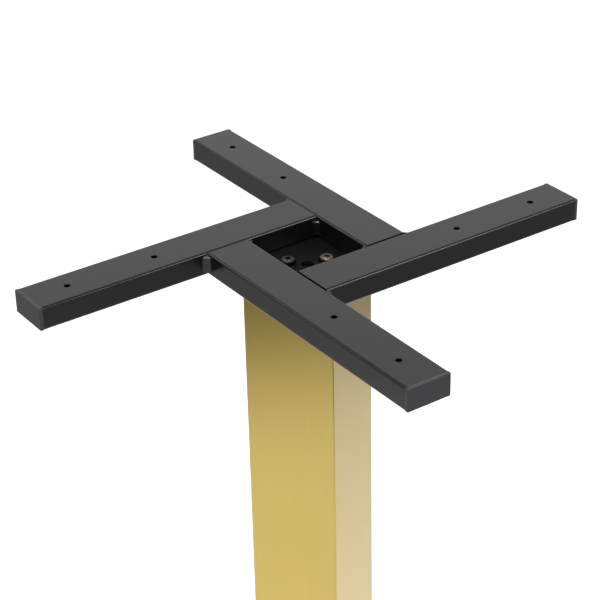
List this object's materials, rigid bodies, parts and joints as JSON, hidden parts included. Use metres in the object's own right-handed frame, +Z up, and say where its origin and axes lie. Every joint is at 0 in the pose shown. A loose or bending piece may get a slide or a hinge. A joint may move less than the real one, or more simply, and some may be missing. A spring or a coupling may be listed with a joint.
{
  "type": "table base",
  "caption": "Pedestal table base: square brushed gold steel column on a weighted square foot, topped by a black pinwheel spider of capped tube arms with screw holes for a table top.",
  "frame": {"origin": "on the floor under the column's axis", "axes": "+Z up along the column; X and Y square to the column's faces, with the front face towards -Y"},
  "size_m": [0.4, 0.4, 0.72],
  "materials": {
    "gold_steel": "gold-toned stainless steel, brushed along the column",
    "black_powder_coat": "fine-textured satin black powder coat",
    "cap_plastic": "moulded black polyethylene",
    "yellow_zinc": "yellow zinc plating",
    "plain_steel": "plain rolled or zinc-plated steel",
    "pad_nylon": "moulded black nylon"
  },
  "bodies": {
    "root": {"foot_cover": "gold_steel", "foot_ballast": "plain_steel", "column": "gold_steel", "column_foot_plate": "plain_steel", "column_top_plate": "plain_steel", "spider_plate": "black_powder_coat", "foot_screws": "plain_steel", "spider_screws": "yellow_zinc", "spider_washers": "plain_steel", "floor_pad_front_left": "pad_nylon", "floor_pad_front_right": "pad_nylon", "floor_pad_back_left": "pad_nylon", "floor_pad_back_right": "pad_nylon", "arm_back_right": "black_powder_coat", "end_cap_back_right": "cap_plastic", "arm_back_left": "black_powder_coat", "end_cap_back_left": "cap_plastic", "arm_front_left": "black_powder_coat", "end_cap_front_left": "cap_plastic", "arm_front_right": "black_powder_coat", "end_cap_front_right": "cap_plastic", "spider_corner_welds": "black_powder_coat", "spider_plate_welds": "black_powder_coat"}
  },
  "joints": []
}
